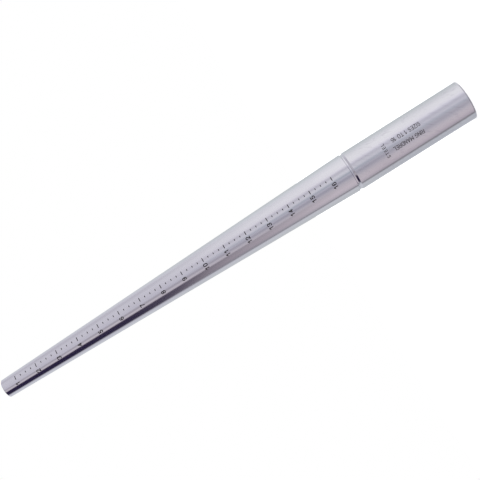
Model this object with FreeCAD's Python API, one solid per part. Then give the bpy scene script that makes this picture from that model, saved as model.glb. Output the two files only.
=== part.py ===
"""A steel ring mandrel with sizes 1 to 16, standing on its butt. Millimetres.

Origin: centre of the handle's end face. +Z runs along the axis towards the small tip,
and the graduated side, which carries the size marks, faces -Y.
"""

import FreeCAD, Part
import math
import os

V = FreeCAD.Vector

# --- Ring scale: the inside diameter of ring size n is SIZE_0_BORE + n * BORE_PER_SIZE ---
SIZE_0_BORE = 11.63
BORE_PER_SIZE = 0.8128
SIZE_PITCH = 15.24            # distance along the axis between two whole sizes
FIRST_SIZE = 1
LAST_SIZE = 16
SIZE_AT_TIP = 0.33            # ring size that the cut-off tip measures
SIZE_AT_SHOULDER = 16.81      # ring size at the thick end of the taper

# --- Handle ---
HANDLE_RADIUS = 12.7
HANDLE_LENGTH = 81.2
FRONT_CHAMFER_LENGTH = 1.2    # along the axis
FRONT_CHAMFER_DROP = 0.6      # towards the axis
BUTT_ROUND = 0.8

# --- Groove between handle and taper, and the tang pressed into the handle ---
NECK_RADIUS = 12.0
NECK_LENGTH = 0.8
SHOULDER_CHAMFER = 0.45
TANG_RADIUS = 7.0
TANG_LENGTH = 45.0
TANG_CHAMFER = 0.6
BORE_DEPTH = 46.0             # 1 mm deeper than the tang, so the neck seats on the handle

# --- Tip ---
TIP_ROUND = 0.6

# --- Centre holes, 60 degree lathe centres: (mouth radius, pilot radius, pilot depth) ---
BUTT_CENTRE = (2.65, 1.25, 3.0)
TIP_CENTRE = (1.675, 0.8, 2.0)
CENTRE_HALF_ANGLE = 30.0
DRILL_HALF_ANGLE = 59.0

# --- Engraved marks, filled black and level with the steel ---
MARK_DEPTH = 0.1
MARK_STROKE = 0.5             # width of the tick marks
TICK_CENTRE_X = 2.65
WHOLE_TICK = 2.5
QUARTER_TICK = 1.2
QUARTERS = 4                  # parts that each whole size is divided into

NUMERAL_HEIGHT = 3.0
NUMERAL_STROKE = 0.52
NUMERAL_GAP = 0.85
NUMERAL_RAISE = 0.15          # how far a number's middle stands above its tick
NUMERAL_CENTRE_X = {1: -1.23, 2: -1.88}   # middles of numbers of one and two figures

LEGEND_HEIGHT = 2.7
LEGEND_STROKE = 0.36
LEGEND_GAP = 0.27
WORD_SPACE = 0.8
LEGEND_BOTTOM_Z = 32.6
LEGEND_BASELINES = {"RING MANDREL": -1.1, "SIZES 1 TO 16": 4.1}   # x of each line's foot
CROSS_WORD = "STEEL"          # the short word that reads across the handle
CROSS_WORD_HEIGHT = 2.2
CROSS_WORD_STROKE = 0.32
CROSS_WORD_GAP = 0.7
CROSS_WORD_CENTRE_X = -0.5
CROSS_WORD_FOOT_Z = 57.1

# --- Worked out from the above ---
TAPER_BOTTOM = HANDLE_LENGTH + NECK_LENGTH
TAPER_LENGTH = (SIZE_AT_SHOULDER - SIZE_AT_TIP) * SIZE_PITCH
OVERALL = TAPER_BOTTOM + TAPER_LENGTH
RIGHT = V(1, 0, 0)
UP = V(0, 0, 1)
FRONT = V(0, -1, 0)
REACH = 20.0                  # how far a mark's prism runs out from the axis

# --- Engraver's alphabet: the path of a round cutter, 6 units high ---
# letter: (width, [runs of straight strokes], [arcs as centre x, centre y, radius, from, to])
CAP = 6.0
GLYPHS = {
    "0": (3.5, [[(0, 1.75), (0, 4.25)], [(3.5, 1.75), (3.5, 4.25)]],
          [(1.75, 4.25, 1.75, 0, 180), (1.75, 1.75, 1.75, 180, 360)]),
    "1": (1.9, [[(0, 4.5), (1.9, 6), (1.9, 0)]], []),
    "2": (3.5, [[(3.09, 3.13), (0, 0), (3.5, 0)]], [(1.75, 4.25, 1.75, -40, 175)]),
    "3": (3.5, [[(1.4, 6), (2.1, 6)], [(1.4, 3.2), (2.1, 3.2)], [(1.6, 0), (1.9, 0)]],
          [(1.4, 4.6, 1.4, 90, 165), (2.1, 4.6, 1.4, -90, 90),
           (1.9, 1.6, 1.6, -90, 90), (1.6, 1.6, 1.6, 195, 270)]),
    "4": (3.5, [[(2.6, 0), (2.6, 6), (0, 1.7), (3.5, 1.7)]], []),
    "5": (3.5, [[(3.2, 6), (0.6, 6), (0.43, 3.07)]], [(1.7, 1.8, 1.8, -155, 135)]),
    "6": (3.5, [[(0, 1.75), (0, 4.25)]], [(1.75, 1.75, 1.75, 0, 360), (1.75, 4.25, 1.75, 30, 180)]),
    "7": (3.5, [[(0, 6), (3.5, 6), (1.2, 0)]], []),
    "8": (3.5, [[(1.4, 6), (2.1, 6)], [(1.4, 3.2), (2.1, 3.2)], [(1.6, 0), (1.9, 0)]],
          [(1.4, 4.6, 1.4, 90, 270), (2.1, 4.6, 1.4, -90, 90),
           (1.6, 1.6, 1.6, 90, 270), (1.9, 1.6, 1.6, -90, 90)]),
    "9": (3.5, [[(3.5, 1.75), (3.5, 4.25)]], [(1.75, 4.25, 1.75, 0, 360), (1.75, 1.75, 1.75, 210, 360)]),
    "A": (3.8, [[(0, 0), (1.9, 6), (3.8, 0)], [(0.6, 1.9), (3.2, 1.9)]], []),
    "D": (3.4, [[(1.4, 0), (0, 0), (0, 6), (1.4, 6)], [(3.4, 2), (3.4, 4)]],
          [(1.4, 4, 2, 0, 90), (1.4, 2, 2, 270, 360)]),
    "E": (3.0, [[(3, 0), (0, 0), (0, 6), (3, 6)], [(0, 3.1), (2.6, 3.1)]], []),
    "G": (3.4, [[(0, 1.7), (0, 4.3)], [(3.4, 1.7), (3.4, 2.8), (2, 2.8)]],
          [(1.7, 4.3, 1.7, 25, 180), (1.7, 1.7, 1.7, 180, 360)]),
    "I": (0.0, [[(0, 0), (0, 6)]], []),
    "L": (2.9, [[(0, 6), (0, 0), (2.9, 0)]], []),
    "M": (4.2, [[(0, 0), (0, 6), (2.1, 2.2), (4.2, 6), (4.2, 0)]], []),
    "N": (3.4, [[(0, 0), (0, 6), (3.4, 0), (3.4, 6)]], []),
    "O": (3.6, [[(0, 1.8), (0, 4.2)], [(3.6, 1.8), (3.6, 4.2)]],
          [(1.8, 4.2, 1.8, 0, 180), (1.8, 1.8, 1.8, 180, 360)]),
    "R": (3.4, [[(0, 0), (0, 6), (1.9, 6)], [(0, 3), (1.9, 3)], [(1.8, 3), (3.4, 0)]],
          [(1.9, 4.5, 1.5, -90, 90)]),
    "S": (3.1, [], [(1.55, 4.45, 1.55, 20, 270), (1.55, 1.45, 1.45, -160, 90)]),
    "T": (3.4, [[(0, 6), (3.4, 6)], [(1.7, 6), (1.7, 0)]], []),
    "Z": (3.4, [[(0, 6), (3.4, 6), (0, 0), (3.4, 0)]], []),
}


def size_z(size):
    """Height at which the taper measures this ring size."""
    return TAPER_BOTTOM + (SIZE_AT_SHOULDER - size) * SIZE_PITCH


def taper_radius(z):
    """Radius of the taper at height z."""
    size = SIZE_AT_SHOULDER - (z - TAPER_BOTTOM) / SIZE_PITCH
    return (SIZE_0_BORE + BORE_PER_SIZE * size) / 2


def turned(edges):
    """Solid of revolution about Z from the edges of a closed outline in the XZ plane."""
    wire = Part.Wire(Part.__sortEdges__(edges))
    return Part.Face(wire).revolve(V(0, 0, 0), V(0, 0, 1), 360)


def outline(points):
    """Straight edges through (radius, height) points."""
    places = [V(r, 0, z) for r, z in points]
    return [Part.makeLine(a, b) for a, b in zip(places, places[1:])]


def rounded_corner(radius, z, size, up):
    """Quarter-round arc at an outer corner: up is +1 at a top edge, -1 at a bottom one."""
    centre = (radius - size, z - up * size)
    ends = [(0, up), (math.sqrt(0.5), up * math.sqrt(0.5)), (1, 0)]
    places = [V(centre[0] + size * x, 0, centre[1] + size * y) for x, y in ends]
    return Part.Arc(*places).toShape()


def centre_hole(hole, face_z, inward):
    """The space of a 60 degree centre hole. inward is the direction along Z into the steel."""
    mouth, pilot, depth = hole
    cone = (mouth - pilot) / math.tan(math.radians(CENTRE_HALF_ANGLE))
    point = pilot / math.tan(math.radians(DRILL_HALF_ANGLE))
    levels = [(0, 0), (mouth, 0), (pilot, cone), (pilot, cone + depth),
              (0, cone + depth + point), (0, 0)]
    return turned(outline([(r, face_z + inward * d) for r, d in levels]))


def handle_blank():
    """Plain handle: cylinder with a blind bore for the tang and a lathe centre in its butt."""
    top = HANDLE_LENGTH
    chamfer_foot = top - FRONT_CHAMFER_LENGTH
    wall = outline([(HANDLE_RADIUS, BUTT_ROUND), (HANDLE_RADIUS, chamfer_foot),
                    (HANDLE_RADIUS - FRONT_CHAMFER_DROP, top), (TANG_RADIUS, top),
                    (TANG_RADIUS, top - BORE_DEPTH), (0, top - BORE_DEPTH),
                    (0, 0), (HANDLE_RADIUS - BUTT_ROUND, 0)])
    blank = turned(wall + [rounded_corner(HANDLE_RADIUS, 0, BUTT_ROUND, -1)])
    return blank.cut(centre_hole(BUTT_CENTRE, 0, 1))


def taper_blank():
    """Plain graduated taper in one piece with the neck behind it and the tang."""
    tang_end = HANDLE_LENGTH - TANG_LENGTH
    shoulder = taper_radius(TAPER_BOTTOM + SHOULDER_CHAMFER)
    tip = taper_radius(OVERALL - TIP_ROUND)
    sides = outline([(tip - TIP_ROUND, OVERALL), (0, OVERALL), (0, tang_end),
                     (TANG_RADIUS - TANG_CHAMFER, tang_end),
                     (TANG_RADIUS, tang_end + TANG_CHAMFER), (TANG_RADIUS, HANDLE_LENGTH),
                     (NECK_RADIUS, HANDLE_LENGTH), (NECK_RADIUS, TAPER_BOTTOM),
                     (shoulder - SHOULDER_CHAMFER, TAPER_BOTTOM),
                     (shoulder, TAPER_BOTTOM + SHOULDER_CHAMFER), (tip, OVERALL - TIP_ROUND)])
    blank = turned(sides + [rounded_corner(tip, OVERALL, TIP_ROUND, 1)])
    return blank.cut(centre_hole(TIP_CENTRE, OVERALL, -1))


def taper_core():
    """The taper without its engraved skin, run past both ends."""
    low, high = TAPER_BOTTOM - 5, OVERALL + 5
    return Part.makeCone(taper_radius(low) - MARK_DEPTH, taper_radius(high) - MARK_DEPTH,
                         high - low, V(0, 0, low))


def handle_core():
    """The handle without its engraved skin, run past both ends."""
    return Part.makeCylinder(HANDLE_RADIUS - MARK_DEPTH, HANDLE_LENGTH + 10, V(0, 0, -5))


def straight_stroke(start, end, width):
    """Face of a round-ended stroke between two points of the XY plane."""
    along = (end - start).normalize()
    side = V(-along.y, along.x, 0) * (width / 2)
    tip = along * (width / 2)
    edges = [Part.makeLine(start + side, end + side),
             Part.Arc(end + side, end + tip, end - side).toShape(),
             Part.makeLine(end - side, start - side),
             Part.Arc(start - side, start - tip, start + side).toShape()]
    return Part.Face(Part.Wire(edges))


def curved_stroke(centre, radius, start, end, width):
    """Face of a stroke along an arc, in degrees, with round ends unless it closes."""
    outer, inner = radius + width / 2, radius - width / 2
    if end - start >= 360:
        ring = Part.Face(Part.Wire(Part.makeCircle(outer, centre)))
        return ring.cut(Part.Face(Part.Wire(Part.makeCircle(inner, centre))))

    def at(r, angle):
        turn = math.radians(angle)
        return centre + V(r * math.cos(turn), r * math.sin(turn), 0)

    def cap(angle, sign):
        middle = at(radius, angle)
        turn = math.radians(angle)
        tip = middle + V(-math.sin(turn), math.cos(turn), 0) * (sign * width / 2)
        return Part.Arc(at(inner, angle), tip, at(outer, angle)).toShape()

    middle = (start + end) / 2
    edges = [Part.Arc(at(outer, start), at(outer, middle), at(outer, end)).toShape(),
             Part.Arc(at(inner, start), at(inner, middle), at(inner, end)).toShape(),
             cap(start, -1), cap(end, 1)]
    return Part.Face(Part.Wire(Part.__sortEdges__(edges)))


def glyph_prism(letter, left, foot, height, stroke):
    """Prism of one character, up from the XY plane, that starts at left and stands on foot."""
    unit = (height - stroke) / CAP
    shift = V(left + stroke / 2, foot + stroke / 2, 0)
    _, runs, arcs = GLYPHS[letter]
    faces = []
    for run in runs:
        places = [shift + V(x, y, 0) * unit for x, y in run]
        faces += [straight_stroke(a, b, stroke) for a, b in zip(places, places[1:])]
    for x, y, radius, start, end in arcs:
        faces.append(curved_stroke(shift + V(x, y, 0) * unit, radius * unit, start, end, stroke))
    prisms = [face.extrude(V(0, 0, REACH)) for face in faces]
    joined = prisms[0].fuse(prisms[1:]) if len(prisms) > 1 else prisms[0]
    return joined.removeSplitter()


def glyph_width(letter, height, stroke):
    """Width of one character, with its stroke."""
    return GLYPHS[letter][0] * (height - stroke) / CAP + stroke


def text_width(text, height, stroke, gap):
    """Width of a line of text from its first stroke to its last."""
    width = -gap
    for letter in text:
        width += gap + (WORD_SPACE if letter == " " else glyph_width(letter, height, stroke))
    return width


def text_prisms(text, left, foot, height, stroke, gap):
    """Prisms of a line of text, up from the XY plane, that starts at left and stands on foot."""
    prisms = []
    for letter in text:
        if letter == " ":
            left += WORD_SPACE + gap
            continue
        prisms.append(glyph_prism(letter, left, foot, height, stroke))
        left += glyph_width(letter, height, stroke) + gap
    return prisms


def towards_front(prisms, reading, top):
    """Stands prisms out from the axis towards -Y. reading and top are the text's directions."""
    turn = FreeCAD.Placement(V(0, 0, 0), FreeCAD.Rotation(reading, top, FRONT, "XYZ"))
    for prism in prisms:
        prism.Placement = turn
    return prisms


def tick_prisms(sizes, length):
    """Prisms of the tick marks at these ring sizes."""
    half = (length - MARK_STROKE) / 2
    ticks = [straight_stroke(V(TICK_CENTRE_X - half, size_z(size), 0),
                             V(TICK_CENTRE_X + half, size_z(size), 0), MARK_STROKE)
             for size in sizes]
    return towards_front([tick.extrude(V(0, 0, REACH)) for tick in ticks], RIGHT, UP)


def numeral_prisms(sizes):
    """Prisms of the size numbers, each beside its tick."""
    figures = (NUMERAL_HEIGHT, NUMERAL_STROKE, NUMERAL_GAP)
    numerals = []
    for size in sizes:
        text = str(size)
        left = NUMERAL_CENTRE_X[len(text)] - text_width(text, *figures) / 2
        foot = size_z(size) + NUMERAL_RAISE - NUMERAL_HEIGHT / 2
        numerals += text_prisms(text, left, foot, *figures)
    return towards_front(numerals, RIGHT, UP)


def legend_prisms():
    """Two lines that read up the handle, with their tops to -X, and a word across it."""
    letters = (LEGEND_HEIGHT, LEGEND_STROKE, LEGEND_GAP)
    lines = []
    for text, foot_x in LEGEND_BASELINES.items():
        lines += text_prisms(text, LEGEND_BOTTOM_Z, -foot_x, *letters)
    small = (CROSS_WORD_HEIGHT, CROSS_WORD_STROKE, CROSS_WORD_GAP)
    start = CROSS_WORD_CENTRE_X - text_width(CROSS_WORD, *small) / 2
    word = text_prisms(CROSS_WORD, start, CROSS_WORD_FOOT_Z, *small)
    return towards_front(lines, UP, -RIGHT) + towards_front(word, RIGHT, UP)


def fills(prisms, blank, core):
    """The black fill of each mark: its prism within the skin between core and surface."""
    return [prism.cut(core).common(blank) for prism in prisms]


def engraved(blank, core, prisms):
    """The blank with a recess for each mark."""
    return blank.cut(Part.makeCompound([prism.cut(core) for prism in prisms]))


def group(pieces):
    """One shape that holds these pieces as separate solids."""
    return Part.makeCompound([solid for piece in pieces for solid in piece.Solids])


def build():
    """Every sub-part by its node's name."""
    whole_sizes = range(FIRST_SIZE, LAST_SIZE + 1)
    quarter_sizes = [size + part / QUARTERS
                     for size in range(FIRST_SIZE, LAST_SIZE) for part in range(1, QUARTERS)]
    whole_ticks = tick_prisms(whole_sizes, WHOLE_TICK)
    quarter_ticks = tick_prisms(quarter_sizes, QUARTER_TICK)
    numerals = numeral_prisms(whole_sizes)
    legend = legend_prisms()

    taper, taper_inside = taper_blank(), taper_core()
    handle, handle_inside = handle_blank(), handle_core()
    return {
        "tapered_mandrel": engraved(taper, taper_inside, whole_ticks + quarter_ticks + numerals),
        "handle": engraved(handle, handle_inside, legend),
        "whole_size_marks": group(fills(whole_ticks, taper, taper_inside)),
        "quarter_size_marks": group(fills(quarter_ticks, taper, taper_inside)),
        "size_numerals": group(fills(numerals, taper, taper_inside)),
        "handle_legend": group(fills(legend, handle, handle_inside)),
    }


def main():
    os.makedirs("parts", exist_ok=True)
    for node, shape in build().items():
        shape.exportStep(f"parts/{node}.step")
        box = shape.BoundBox
        print(f"{node}: {len(shape.Solids)} solids, valid {shape.isValid()}, "
              f"{shape.Volume:.2f} mm3, z {box.ZMin:.2f} to {box.ZMax:.2f}")


main()
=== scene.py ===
"""A polished steel ring mandrel with filled size marks, standing on its butt in a white studio.

Metres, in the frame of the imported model: the origin is the centre of the butt, +Z runs
towards the small tip, and the size marks face -Y.
"""

import math

import bmesh
import bpy
from mathutils import Matrix, Vector


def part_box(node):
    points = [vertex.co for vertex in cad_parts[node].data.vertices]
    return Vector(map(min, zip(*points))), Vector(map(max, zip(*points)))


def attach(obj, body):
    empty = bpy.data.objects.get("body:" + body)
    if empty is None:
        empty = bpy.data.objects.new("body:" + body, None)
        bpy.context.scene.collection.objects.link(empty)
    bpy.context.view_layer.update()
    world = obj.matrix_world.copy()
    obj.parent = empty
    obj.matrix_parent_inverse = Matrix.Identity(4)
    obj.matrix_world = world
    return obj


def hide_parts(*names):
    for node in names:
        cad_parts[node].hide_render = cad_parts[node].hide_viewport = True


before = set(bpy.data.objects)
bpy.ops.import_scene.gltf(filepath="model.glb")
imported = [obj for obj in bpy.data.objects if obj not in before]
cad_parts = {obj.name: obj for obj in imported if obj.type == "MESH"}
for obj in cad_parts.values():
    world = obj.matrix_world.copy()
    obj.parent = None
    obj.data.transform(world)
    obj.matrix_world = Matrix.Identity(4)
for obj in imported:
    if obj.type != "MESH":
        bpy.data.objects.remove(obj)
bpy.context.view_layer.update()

MM = 0.001
FINEST = 256                        # facets around each turned piece
ARC_STEPS = 6                       # edges along each rounded corner

# --- From the frame ---
HANDLE_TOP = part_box("handle")[1].z
TANG_END, OVERALL = (point.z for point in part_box("tapered_mandrel"))

# --- Sizes that the boxes don't show, as designed ---
HANDLE_RADIUS = 12.7 * MM
SIZE_0_BORE = 11.63 * MM            # inside diameter of ring size 0
BORE_PER_SIZE = 0.8128 * MM
SIZE_PITCH = 15.24 * MM             # height between two whole sizes
SIZE_AT_TIP = 0.33
NECK_RADIUS = 12.0 * MM
NECK_LENGTH = 0.8 * MM
SHOULDER_CHAMFER = 0.45 * MM
FRONT_CHAMFER_LENGTH = 1.2 * MM
FRONT_CHAMFER_DROP = 0.6 * MM
BUTT_ROUND = 0.8 * MM
TIP_ROUND = 0.6 * MM
TANG_RADIUS = 7.0 * MM
TANG_CHAMFER = 0.6 * MM
BORE_BOTTOM = HANDLE_TOP - 46 * MM
BUTT_CENTRE = (2.65 * MM, 1.25 * MM, 3.0 * MM)    # mouth radius, pilot radius, pilot depth
TIP_CENTRE = (1.675 * MM, 0.8 * MM, 2.0 * MM)
CENTRE_HALF_ANGLE = math.radians(30)
DRILL_HALF_ANGLE = math.radians(59)
MARK_DEPTH = 0.1 * MM
MARK_RISE = 0.006 * MM              # how far a mark's fill stands proud of the steel
MARK_EDGE = 0.25 * MM               # width of the strips that a fill's face is cut into
TAPER_BOTTOM = HANDLE_TOP + NECK_LENGTH


def taper_radius(z):
    """Radius of the taper at height z."""
    size = SIZE_AT_TIP + (OVERALL - z) / SIZE_PITCH
    return (SIZE_0_BORE + BORE_PER_SIZE * size) / 2


# ---------------------------------------------------------------- turned steel

def corner(radius, z, size, up):
    """(radius, z) points of a rounded outer corner: up is +1 at a top edge, -1 at a bottom one."""
    points = []
    for step in range(ARC_STEPS + 1):
        turn = math.pi / 2 * step / ARC_STEPS
        points.append((radius - size + size * math.cos(turn),
                       z - up * size + up * size * math.sin(turn)))
    return points


def centre_hole(hole, face_z, inward):
    """(radius, z) points of a 60 degree centre hole, from its bottom to its mouth."""
    mouth, pilot, depth = hole
    cone = (mouth - pilot) / math.tan(CENTRE_HALF_ANGLE)
    point = pilot / math.tan(DRILL_HALF_ANGLE)
    levels = [(0, cone + depth + point), (pilot, cone + depth), (pilot, cone), (mouth, 0)]
    return [(radius, face_z + inward * level) for radius, level in levels]


def turned(name, outline):
    """Closed mesh of revolution about Z. outline is (radius, z) points that start and end on the axis."""
    mesh = bmesh.new()
    rings = []
    for radius, z in outline:
        if radius < 1e-9:
            rings.append([mesh.verts.new((0, 0, z))])
            continue
        turns = [2 * math.pi * step / FINEST for step in range(FINEST)]
        rings.append([mesh.verts.new((radius * math.cos(turn), radius * math.sin(turn), z))
                      for turn in turns])
    for low, high in zip(rings, rings[1:]):
        for step in range(FINEST):
            after = (step + 1) % FINEST
            face = [low[step % len(low)], low[after % len(low)],
                    high[after % len(high)], high[step % len(high)]]
            mesh.faces.new(list(dict.fromkeys(face)))
    bmesh.ops.recalc_face_normals(mesh, faces=mesh.faces)
    return finished_mesh(name, mesh)


def finished_mesh(name, mesh, sharp=20):
    """Object from a bmesh, shaded smooth between edges sharper than this many degrees."""
    data = bpy.data.meshes.new(name)
    mesh.to_mesh(data)
    mesh.free()
    data.shade_smooth()
    data.set_sharp_from_angle(angle=math.radians(sharp))
    piece = bpy.data.objects.new(name, data)
    bpy.context.scene.collection.objects.link(piece)
    return piece


def handle():
    """The cylinder with its rounded butt, front chamfer and the blind bore that holds the tang."""
    butt = centre_hole(BUTT_CENTRE, 0, 1)
    rounded = list(reversed(corner(HANDLE_RADIUS, 0, BUTT_ROUND, -1)))
    front = [(HANDLE_RADIUS, HANDLE_TOP - FRONT_CHAMFER_LENGTH),
             (HANDLE_RADIUS - FRONT_CHAMFER_DROP, HANDLE_TOP)]
    bore = [(TANG_RADIUS, HANDLE_TOP), (TANG_RADIUS, BORE_BOTTOM), (0, BORE_BOTTOM)]
    return turned("polished_handle", butt + rounded + front + bore)


def tapered_mandrel():
    """The graduated taper with the neck behind it, the hidden tang and the tip's centre hole."""
    tang = [(0, TANG_END), (TANG_RADIUS - TANG_CHAMFER, TANG_END),
            (TANG_RADIUS, TANG_END + TANG_CHAMFER), (TANG_RADIUS, HANDLE_TOP)]
    neck = [(NECK_RADIUS, HANDLE_TOP), (NECK_RADIUS, TAPER_BOTTOM)]
    edge = TAPER_BOTTOM + SHOULDER_CHAMFER
    shoulder = [(taper_radius(edge) - SHOULDER_CHAMFER, TAPER_BOTTOM), (taper_radius(edge), edge)]
    tip = corner(taper_radius(OVERALL - TIP_ROUND), OVERALL, TIP_ROUND, 1)
    hole = list(reversed(centre_hole(TIP_CENTRE, OVERALL, -1)))
    return turned("polished_taper", tang + neck + shoulder + tip + hole)


# ---------------------------------------------------------------- filled marks

def lay_on(verts, surface_radius, rise):
    """Moves points straight along Y onto the front of the surface, or rise above it."""
    for vert in verts:
        radius = surface_radius(vert.co.z) + rise
        vert.co.y = -math.sqrt(radius ** 2 - vert.co.x ** 2)


def filled_marks(name, node, surface_radius):
    """The fills of a CAD node, with faces cut fine enough to follow the steel's curve."""
    mesh = bmesh.new()
    mesh.from_mesh(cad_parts[node].data)
    bmesh.ops.remove_doubles(mesh, verts=mesh.verts, dist=1e-7)

    def deep(vert):
        return math.hypot(vert.co.x, vert.co.y) < surface_radius(vert.co.z) - MARK_DEPTH / 2

    hidden = [face for face in mesh.faces if any(deep(vert) for vert in face.verts)]
    bmesh.ops.delete(mesh, geom=hidden, context="FACES")
    low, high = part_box(node)
    for step in range(1, math.ceil((high.x - low.x) / MARK_EDGE)):
        bmesh.ops.bisect_plane(mesh, geom=[*mesh.verts, *mesh.edges, *mesh.faces], dist=1e-8,
                               plane_co=(low.x + step * MARK_EDGE, 0, 0), plane_no=(1, 0, 0))
    lay_on(mesh.verts, surface_radius, MARK_RISE)
    grown = bmesh.ops.extrude_face_region(mesh, geom=list(mesh.faces), use_keep_orig=True)
    backs = [item for item in grown["geom"] if isinstance(item, bmesh.types.BMVert)]
    lay_on(backs, surface_radius, -MARK_DEPTH)
    bmesh.ops.recalc_face_normals(mesh, faces=mesh.faces)
    return finished_mesh(name, mesh, sharp=40)


# ---------------------------------------------------------------- materials

def new_material(name):
    """Empty node material with a Principled shader; returns (material, nodes, links, shader)."""
    material = bpy.data.materials.new(name)
    material.use_nodes = True
    nodes, links = material.node_tree.nodes, material.node_tree.links
    nodes.clear()
    output = nodes.new("ShaderNodeOutputMaterial")
    shader = nodes.new("ShaderNodeBsdfPrincipled")
    links.new(shader.outputs["BSDF"], output.inputs["Surface"])
    return material, nodes, links, shader


def stretched_noise(nodes, links, stretch, detail, lean=0.0):
    """Noise over the object's own coordinates, leant about Y, then stretched by a scale per axis."""
    coordinates = nodes.new("ShaderNodeTexCoord")
    leaning = nodes.new("ShaderNodeMapping")
    leaning.inputs["Rotation"].default_value = (0, math.radians(lean), 0)
    mapping = nodes.new("ShaderNodeMapping")
    mapping.inputs["Scale"].default_value = stretch
    noise = nodes.new("ShaderNodeTexNoise")
    noise.inputs["Scale"].default_value = 1.0
    noise.inputs["Detail"].default_value = detail
    links.new(coordinates.outputs["Object"], leaning.inputs["Vector"])
    links.new(leaning.outputs["Vector"], mapping.inputs["Vector"])
    links.new(mapping.outputs["Vector"], noise.inputs["Vector"])
    return noise.outputs["Fac"]


def remap(nodes, links, value, low, high, to_low, to_high):
    """value from low..high to to_low..to_high, clamped."""
    node = nodes.new("ShaderNodeMapRange")
    node.inputs["From Min"].default_value = low
    node.inputs["From Max"].default_value = high
    node.inputs["To Min"].default_value = to_low
    node.inputs["To Max"].default_value = to_high
    links.new(value, node.inputs["Value"])
    return node.outputs["Result"]


def math_node(nodes, links, operation, *values):
    """A Math node fed by sockets or numbers."""
    node = nodes.new("ShaderNodeMath")
    node.operation = operation
    for place, value in enumerate(values):
        if isinstance(value, (int, float)):
            node.inputs[place].default_value = value
        else:
            links.new(value, node.inputs[place])
    return node.outputs["Value"]


def blend_colours(nodes, links, factor, first, second):
    """Colour that goes from first to second with factor. Each is a socket or three numbers."""
    mix = nodes.new("ShaderNodeMix")
    mix.data_type = "RGBA"
    links.new(factor, mix.inputs["Factor"])
    for name, colour in (("A", first), ("B", second)):
        if isinstance(colour, tuple):
            mix.inputs[name].default_value = (*colour, 1)
        else:
            links.new(colour, mix.inputs[name])
    return mix.outputs["Result"]


def polished_steel(name, tint, scuffed_tint, smooth, scuffed, line_height, scuffs):
    """Bright steel, ground in circles round the axis, with rub marks along it and slanting scuffs.

    Roughness goes from smooth to scuffed as the colour goes from tint to scuffed_tint.
    """
    material, nodes, links, shader = new_material(name)
    rings = stretched_noise(nodes, links, (25, 25, 5200), 3.0)
    rubs = stretched_noise(nodes, links, (1900, 1900, 14), 4.0)
    smears = stretched_noise(nodes, links, (90, 90, 30), 3.0)
    slanting = stretched_noise(nodes, links, (700, 700, 38), 4.0, lean=-35)

    smeared = remap(nodes, links, smears, 0.3, 0.7, 0.0, 0.35)
    marked = remap(nodes, links, slanting, 0.5, 0.72, 0.0, scuffs)
    worn = math_node(nodes, links, "MAXIMUM", smeared, marked)
    links.new(blend_colours(nodes, links, worn, tint, scuffed_tint), shader.inputs["Base Color"])
    links.new(remap(nodes, links, worn, 0.0, 1.0, smooth, scuffed), shader.inputs["Roughness"])
    shader.inputs["Metallic"].default_value = 1.0
    shader.inputs["Anisotropic"].default_value = 0.5
    shader.inputs["Anisotropic Rotation"].default_value = 0.25
    tangent = nodes.new("ShaderNodeTangent")
    tangent.direction_type = "RADIAL"
    tangent.axis = "Z"
    links.new(tangent.outputs["Tangent"], shader.inputs["Tangent"])

    scratches = remap(nodes, links, rubs, 0.66, 0.74, 0.0, 0.5)
    height = math_node(nodes, links, "SUBTRACT", rings, scratches)
    bump = nodes.new("ShaderNodeBump")
    bump.inputs["Strength"].default_value = 1.0
    bump.inputs["Distance"].default_value = line_height
    links.new(height, bump.inputs["Height"])
    links.new(bump.outputs["Normal"], shader.inputs["Normal"])
    return material


def mark_fill(name, dark, dusty, roughness):
    """Baked-on filling of an engraved mark: dark, matt and a little uneven."""
    material, nodes, links, shader = new_material(name)
    shader.inputs["Specular IOR Level"].default_value = 0.25
    patches = stretched_noise(nodes, links, (2500, 2500, 2500), 3.0)
    share = remap(nodes, links, patches, 0.4, 0.75, 0.0, 1.0)
    links.new(blend_colours(nodes, links, share, dark, dusty), shader.inputs["Base Color"])
    links.new(remap(nodes, links, patches, 0.3, 0.7, roughness, roughness + 0.2),
              shader.inputs["Roughness"])
    bump = nodes.new("ShaderNodeBump")
    bump.inputs["Strength"].default_value = 0.6
    bump.inputs["Distance"].default_value = 0.01 * MM
    links.new(patches, bump.inputs["Height"])
    links.new(bump.outputs["Normal"], shader.inputs["Normal"])
    return material


def add_piece(piece, material, node):
    """Paints a finished piece and lets it stand for its CAD node."""
    piece.data.materials.append(material)
    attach(piece, "root")
    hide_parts(node)


# ---------------------------------------------------------------- studio

# Walls of the light tent at three heights, as (degrees round from the camera's side, colour).
# -X is at +90. Each narrow dark stop is a seam, and the high walls have a dark opening from 43 to 87.
LOW_WALLS = [
    (-180, (0.34, 0.35, 0.37)), (-166, (0.50, 0.53, 0.54)), (-138, (0.61, 0.65, 0.65)),
    (-95, (0.82, 0.82, 0.84)), (-75, (0.90, 0.90, 0.905)), (-50, (0.89, 0.88, 0.91)),
    (-41, (0.78, 0.77, 0.84)), (-33, (0.61, 0.60, 0.67)), (-25, (0.585, 0.58, 0.635)),
    (-13, (0.645, 0.64, 0.70)), (-5, (0.54, 0.55, 0.61)), (2, (0.48, 0.49, 0.54)),
    (12, (0.475, 0.46, 0.51)), (19, (0.44, 0.425, 0.475)), (26, (0.485, 0.465, 0.515)),
    (36, (0.545, 0.515, 0.555)), (47, (0.59, 0.545, 0.58)), (60, (0.595, 0.545, 0.575)),
    (78, (0.53, 0.475, 0.52)), (89, (0.41, 0.38, 0.415)), (94, (0.17, 0.16, 0.17)),
    (99, (0.365, 0.365, 0.39)), (107, (0.55, 0.57, 0.60)), (135, (0.50, 0.52, 0.555)),
    (160, (0.52, 0.54, 0.57)), (180, (0.34, 0.35, 0.37)),
]
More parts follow.
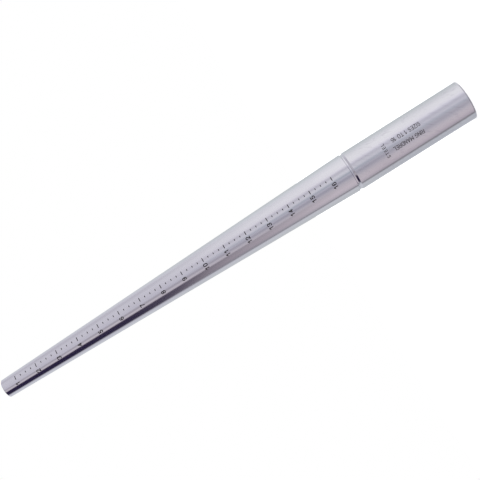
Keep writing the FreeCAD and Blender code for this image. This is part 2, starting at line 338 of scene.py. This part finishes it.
MIDDLE_WALLS = [
    (-180, (0.34, 0.35, 0.37)), (-166, (0.52, 0.55, 0.56)), (-138, (0.62, 0.66, 0.66)),
    (-115, (0.74, 0.77, 0.78)),
    (-95, (0.84, 0.84, 0.86)), (-75, (0.90, 0.90, 0.905)), (-50, (0.88, 0.87, 0.89)),
    (-43, (0.77, 0.75, 0.80)), (-36, (0.60, 0.585, 0.64)), (-30, (0.55, 0.54, 0.59)),
    (-25, (0.64, 0.635, 0.675)), (-19, (0.71, 0.705, 0.745)), (-10, (0.66, 0.665, 0.70)),
    (-5, (0.465, 0.49, 0.54)), (1, (0.395, 0.42, 0.475)), (7, (0.52, 0.51, 0.575)),
    (12, (0.44, 0.43, 0.495)), (18, (0.35, 0.35, 0.405)), (25, (0.415, 0.40, 0.455)),
    (34, (0.51, 0.485, 0.52)), (47, (0.61, 0.56, 0.59)), (65, (0.66, 0.595, 0.63)),
    (78, (0.61, 0.555, 0.59)), (89, (0.48, 0.455, 0.49)), (94, (0.20, 0.19, 0.20)),
    (99, (0.48, 0.48, 0.51)), (107, (0.64, 0.66, 0.68)), (135, (0.57, 0.595, 0.60)),
    (160, (0.54, 0.56, 0.57)), (180, (0.34, 0.35, 0.37)),
]
HIGH_WALLS = [
    (-180, (0.58, 0.60, 0.63)), (-138, (0.66, 0.675, 0.71)), (-115, (0.65, 0.645, 0.69)),
    (-97, (0.56, 0.545, 0.60)), (-85, (0.58, 0.57, 0.615)), (-68, (0.65, 0.64, 0.69)),
    (-30, (0.635, 0.62, 0.67)), (-12, (0.60, 0.585, 0.645)), (0, (0.60, 0.585, 0.645)),
    (11, (0.42, 0.395, 0.44)), (17, (0.42, 0.395, 0.435)), (25, (0.59, 0.555, 0.59)),
    (32, (0.61, 0.57, 0.60)), (37, (0.49, 0.44, 0.485)), (43, (0.03, 0.021, 0.054)),
    (70, (0.019, 0.014, 0.047)), (87, (0.03, 0.024, 0.054)), (96, (0.42, 0.42, 0.46)),
    (106, (0.62, 0.625, 0.67)), (135, (0.64, 0.66, 0.69)), (180, (0.58, 0.60, 0.63)),
]
# By height in degrees: how far each set of walls takes over from the one below it, and the
# brightness, with a dark skirt and a grey base below the tent and a greyer roof over it.
MIDDLE_SHARE = [(-9, (0, 0, 0)), (-2.5, (1, 1, 1))]
HIGH_SHARE = [(-1, (0, 0, 0)), (6, (0.39, 0.39, 0.39)), (9.4, (0.4, 0.4, 0.4)), (12.4, (1, 1, 1))]
TENT_BRIGHTNESS = 1.15
HEIGHT_SHADES = [(-58, (0.65, 0.65, 0.65)), (-53, (0.35, 0.35, 0.35)), (-42, (0.35, 0.35, 0.35)),
                 (-34, (1, 1, 1)), (33, (1, 1, 1)), (40, (0.8, 0.8, 0.8))]


def ramp(nodes, links, degrees, limit, walls):
    """Colour that follows the stops of walls. degrees runs from -limit to limit, in radians."""
    node = nodes.new("ShaderNodeValToRGB")
    stops = node.color_ramp.elements
    stops.remove(stops[1])
    place, colour = walls[0]
    stops[0].position = (place / limit + 1) / 2
    stops[0].color = (*colour, 1)
    for place, colour in walls[1:]:
        stops.new((place / limit + 1) / 2).color = (*colour, 1)
    span = math.radians(limit)
    links.new(remap(nodes, links, degrees, -span, span, 0.0, 1.0), node.inputs["Fac"])
    return node.outputs["Color"]


def light_tent():
    """World light: a pale tent with seams and one dark opening high on the -X side."""
    world = bpy.data.worlds.new("light_tent")
    world.use_nodes = True
    nodes, links = world.node_tree.nodes, world.node_tree.links
    nodes.clear()
    direction = nodes.new("ShaderNodeTexCoord").outputs["Generated"]
    parts = nodes.new("ShaderNodeSeparateXYZ")
    links.new(direction, parts.inputs["Vector"])
    away_x = math_node(nodes, links, "MULTIPLY", parts.outputs["X"], -1.0)
    away_y = math_node(nodes, links, "MULTIPLY", parts.outputs["Y"], -1.0)
    turn = math_node(nodes, links, "ARCTAN2", away_x, away_y)
    height = math_node(nodes, links, "ARCSINE", parts.outputs["Z"])

    colour = ramp(nodes, links, turn, 180, LOW_WALLS)
    for share, upper in ((MIDDLE_SHARE, MIDDLE_WALLS), (HIGH_SHARE, HIGH_WALLS)):
        factor = ramp(nodes, links, height, 90, share)
        colour = blend_colours(nodes, links, factor, colour, ramp(nodes, links, turn, 180, upper))

    walls, backdrop = nodes.new("ShaderNodeBackground"), nodes.new("ShaderNodeBackground")
    links.new(colour, walls.inputs["Color"])
    shade = ramp(nodes, links, height, 90, HEIGHT_SHADES)
    links.new(math_node(nodes, links, "MULTIPLY", shade, TENT_BRIGHTNESS), walls.inputs["Strength"])
    backdrop.inputs["Color"].default_value = (1, 1, 1, 1)
    seen = nodes.new("ShaderNodeLightPath").outputs["Is Camera Ray"]
    choice = nodes.new("ShaderNodeMixShader")
    links.new(seen, choice.inputs["Fac"])
    links.new(walls.outputs["Background"], choice.inputs[1])
    links.new(backdrop.outputs["Background"], choice.inputs[2])
    output = nodes.new("ShaderNodeOutputWorld")
    links.new(choice.outputs["Shader"], output.inputs["Surface"])
    bpy.context.scene.world = world


def studio_floor():
    """A white floor that the steel doesn't mirror."""
    bpy.ops.mesh.primitive_circle_add(vertices=64, radius=4, fill_type="NGON")
    floor = bpy.context.object
    floor.name = "studio_floor"
    material, nodes, links, shader = new_material("floor_white")
    shader.inputs["Base Color"].default_value = (0.9, 0.9, 0.9, 1)
    shader.inputs["Roughness"].default_value = 0.9
    shader.inputs["Emission Color"].default_value = (1, 1, 1, 1)
    shader.inputs["Emission Strength"].default_value = 0.35
    floor.data.materials.append(material)
    floor.visible_glossy = False


def overhead_light():
    """Wide soft light from straight above."""
    light = bpy.data.lights.new("overhead", "SUN")
    light.energy = 2.0
    light.angle = math.radians(60)
    lamp = bpy.data.objects.new("overhead", light)
    lamp.location = (0, 0, 1.5)
    lamp.visible_glossy = False
    bpy.context.scene.collection.objects.link(lamp)


def camera():
    """Camera square to the taper but for a small tilt, rolled so that the tip points lower left."""
    distance = 0.6022
    tilt = math.radians(2.87)
    roll = math.radians(-122.18)
    aim = Vector((0.00083, 0, 0.16062))
    forward = Vector((0, math.cos(tilt), math.sin(tilt)))
    across = Vector((1, 0, 0))
    above = across.cross(forward)
    right = across * math.cos(roll) + above * math.sin(roll)
    up = above * math.cos(roll) - across * math.sin(roll)
    data = bpy.data.cameras.new("camera")
    data.sensor_width = 36
    data.lens = 73.66
    data.clip_start = 0.01
    view = bpy.data.objects.new("camera", data)
    turn = Matrix((right, up, -forward)).transposed().to_4x4()
    view.matrix_world = Matrix.Translation(aim - forward * distance) @ turn
    bpy.context.scene.collection.objects.link(view)
    bpy.context.scene.camera = view


# ---------------------------------------------------------------- the object

ground = polished_steel("ground_steel", (0.725, 0.72, 0.765), (0.63, 0.615, 0.67),
                        smooth=0.13, scuffed=0.2, line_height=0.0012 * MM, scuffs=0.35)
softer = polished_steel("turned_steel", (0.72, 0.715, 0.755), (0.60, 0.585, 0.64),
                        smooth=0.15, scuffed=0.24, line_height=0.0016 * MM, scuffs=0.7)
black = mark_fill("mark_black", (0.008, 0.006, 0.006), (0.03, 0.025, 0.025), 0.5)
grey = mark_fill("legend_grey", (0.025, 0.02, 0.022), (0.09, 0.08, 0.085), 0.5)

add_piece(tapered_mandrel(), ground, "tapered_mandrel")
add_piece(handle(), softer, "handle")
for node in ("whole_size_marks", "quarter_size_marks", "size_numerals"):
    add_piece(filled_marks("black_" + node, node, taper_radius), black, node)
add_piece(filled_marks("grey_handle_legend", "handle_legend", lambda z: HANDLE_RADIUS),
          grey, "handle_legend")

light_tent()
studio_floor()
overhead_light()
camera()
bpy.context.scene.view_settings.view_transform = "Standard"
